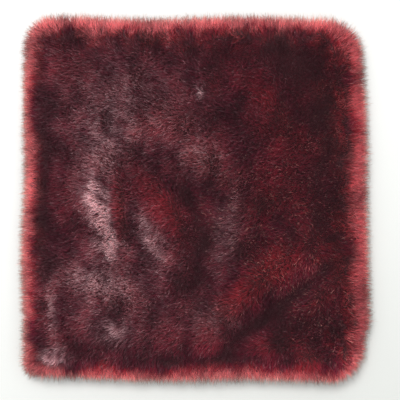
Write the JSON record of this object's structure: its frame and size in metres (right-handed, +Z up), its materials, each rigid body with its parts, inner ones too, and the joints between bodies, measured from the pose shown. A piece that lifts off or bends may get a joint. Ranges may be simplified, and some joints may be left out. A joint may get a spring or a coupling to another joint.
{
  "type": "furry windscreen",
  "caption": "Flat square slip-over wind cover of long-pile faux fur, two plush panels with thin linings and a zip hidden in one edge.",
  "frame": {"origin": "middle of the underside, on the surface the cover lies on", "axes": "+Z up, through the two panels; +Y away from the zip side, along the longer side; +X along the zip, towards its closed end"},
  "size_m": [0.452, 0.47, 0.03],
  "materials": {
    "plush": "long straight faux-fur pile, dark tips over crimson roots",
    "lining_cloth": "thin open plain weave",
    "zip_tape": "close woven polyester tape",
    "zip_teeth": "moulded, slightly glossy",
    "stop_metal": "plated steel",
    "slider_metal": "baked enamel over die-cast metal",
    "sewing_thread": "spun polyester thread"
  },
  "bodies": {
    "cover": {"front_fur_panel": "plush", "rear_fur_panel": "plush", "front_lining": "lining_cloth", "rear_lining": "lining_cloth", "zip_tape_front": "zip_tape", "zip_tape_rear": "zip_tape", "zip_teeth_front": "zip_teeth", "zip_teeth_rear": "zip_teeth", "zip_top_stop_front": "stop_metal", "zip_top_stop_rear": "stop_metal", "zip_bottom_stop": "stop_metal", "zip_end_tab_left": "zip_tape", "zip_end_tab_right": "zip_tape", "seam_stitching_right": "sewing_thread", "seam_stitching_far": "sewing_thread", "seam_stitching_left": "sewing_thread", "zip_stitching_front": "sewing_thread", "zip_stitching_rear": "sewing_thread"},
    "slider": {"zip_slider": "slider_metal"},
    "pull": {"zip_pull": "slider_metal"}
  },
  "joints": [
    {"name": "zip_slide", "type": "slide", "parent": "cover", "child": "slider", "axis": [-1, 0, 0], "range_m": [0, 0.34]},
    {"name": "pull_hinge", "type": "hinge", "parent": "slider", "child": "pull", "pos_m": [0.17, -0.22308, 0.013], "axis": [0, 0, 1], "range_deg": [0, 170]}
  ]
}
